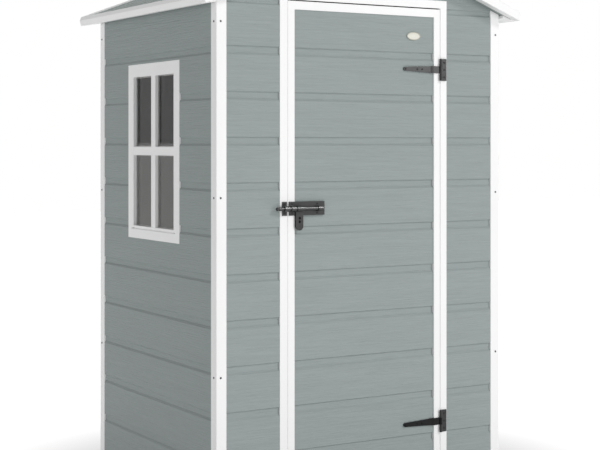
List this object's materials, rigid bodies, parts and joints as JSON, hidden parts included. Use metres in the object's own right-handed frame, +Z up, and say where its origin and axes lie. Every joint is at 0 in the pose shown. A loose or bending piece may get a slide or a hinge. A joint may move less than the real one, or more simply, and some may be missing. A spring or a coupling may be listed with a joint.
{
  "type": "plastic garden shed",
  "caption": "Small apex-roof resin shed with grooved plank walls, corner posts, a side window and an outward-opening front door on strap hinges, held shut by a sliding pad bolt.",
  "frame": {"origin": "on the ground under the middle of the floor panel", "axes": "+Z up; the door faces -Y; +X to the right as one faces the door; the ridge runs along Y"},
  "size_m": [1.344, 1.086, 2.0441],
  "materials": {
    "wall_plastic": "matt, brushed wood grain",
    "roof_plastic": "matt, fine texture",
    "floor_plastic": "matt, ribbed",
    "white_trim": "satin",
    "dark_steel": "satin powder coat",
    "rod_steel": "semi-gloss",
    "window_pane": "clear",
    "badge_plate": "gloss"
  },
  "bodies": {
    "shed": {"floor_panel": "floor_plastic", "corner_post_front_left": "white_trim", "corner_post_front_right": "white_trim", "corner_post_back_left": "white_trim", "corner_post_back_right": "white_trim", "front_wall_left": "wall_plastic", "front_wall_right": "wall_plastic", "front_gable": "wall_plastic", "back_wall": "wall_plastic", "right_wall": "wall_plastic", "left_wall_front": "wall_plastic", "left_wall_back": "wall_plastic", "left_wall_below_window": "wall_plastic", "left_wall_above_window": "wall_plastic", "door_jamb_left": "white_trim", "door_jamb_right": "white_trim", "door_head": "white_trim", "window_frame": "white_trim", "window_glass": "window_pane", "roof_panel_left": "roof_plastic", "roof_panel_right": "roof_plastic", "ridge_cap": "roof_plastic", "barge_front_left": "white_trim", "barge_front_right": "white_trim", "barge_back_left": "white_trim", "barge_back_right": "white_trim", "eave_trim_left": "white_trim", "eave_trim_right": "white_trim", "hinge_plate_upper": "dark_steel", "hinge_plate_lower": "dark_steel", "bolt_keeper": "dark_steel"},
    "door": {"door_panel": "wall_plastic", "door_stile_hinge_side": "white_trim", "door_stile_latch_side": "white_trim", "door_top_rail": "white_trim", "door_bottom_rail": "white_trim", "hinge_strap_upper": "dark_steel", "hinge_strap_lower": "dark_steel", "bolt_plate": "dark_steel", "bolt_guides": "dark_steel", "badge": "badge_plate"},
    "bolt": {"bolt_rod": "rod_steel"},
    "tongue": {"bolt_tongue": "dark_steel"}
  },
  "joints": [
    {"name": "door_hinge", "type": "hinge", "parent": "shed", "child": "door", "pos_m": [0.3265, -0.5025, 0.9145], "axis": [0, 0, 1], "range_deg": [0, 120]},
    {"name": "bolt_slide", "type": "slide", "parent": "door", "child": "bolt", "axis": [1, 0, 0], "range_m": [0, 0.0535]},
    {"name": "tongue_turn", "type": "hinge", "parent": "bolt", "child": "tongue", "pos_m": [-0.282, -0.5115, 1.065], "axis": [-1, 0, 0], "range_deg": [0, 90]}
  ]
}
